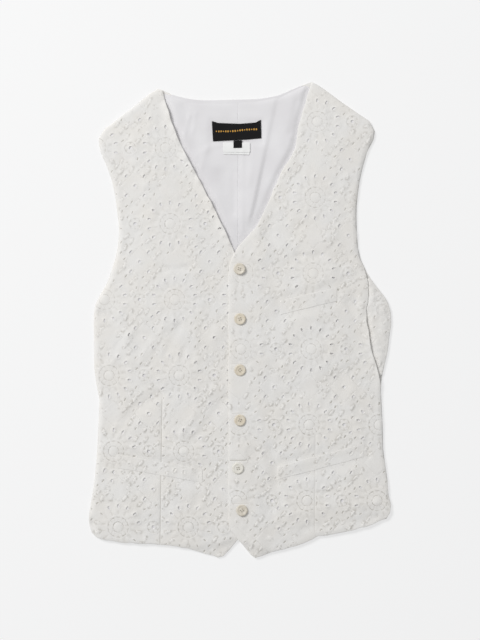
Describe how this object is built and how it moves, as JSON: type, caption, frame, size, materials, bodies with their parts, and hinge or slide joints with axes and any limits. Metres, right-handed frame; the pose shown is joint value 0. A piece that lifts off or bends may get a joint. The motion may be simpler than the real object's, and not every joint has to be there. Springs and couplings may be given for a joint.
{
  "type": "embroidered waistcoat, laid flat",
  "caption": "Sleeveless V-neck waistcoat in off-white eyelet embroidery, with welt pockets and shell buttons, buttoned and laid flat.",
  "frame": {"origin": "middle of the outline, on the surface that the waistcoat lies on", "axes": "+X towards the wearer's left side, +Y up to the shoulders, +Z away from the surface"},
  "size_m": [0.4245, 0.6676, 0.0111],
  "materials": {
    "eyelet_cloth": "matt embroidered cotton",
    "lining_cotton": "smooth plain cotton",
    "button_shell": "polished shell",
    "label_black": "woven black, bare",
    "label_white": "plain white tape, bare"
  },
  "bodies": {
    "root": {"back_right": "eyelet_cloth", "back_left": "eyelet_cloth", "back_left_turn": "eyelet_cloth", "front_right": "eyelet_cloth", "front_left": "eyelet_cloth", "waist_welt_right": "eyelet_cloth", "waist_welt_left": "eyelet_cloth", "chest_welt": "eyelet_cloth", "back_neck_edge": "lining_cotton", "lining_right": "lining_cotton", "lining_left": "lining_cotton", "button_1": "button_shell", "button_2": "button_shell", "button_3": "button_shell", "button_4": "button_shell", "button_5": "button_shell", "button_6": "button_shell", "neck_label": "label_black", "size_tab": "label_black", "care_label": "label_white"}
  },
  "joints": []
}
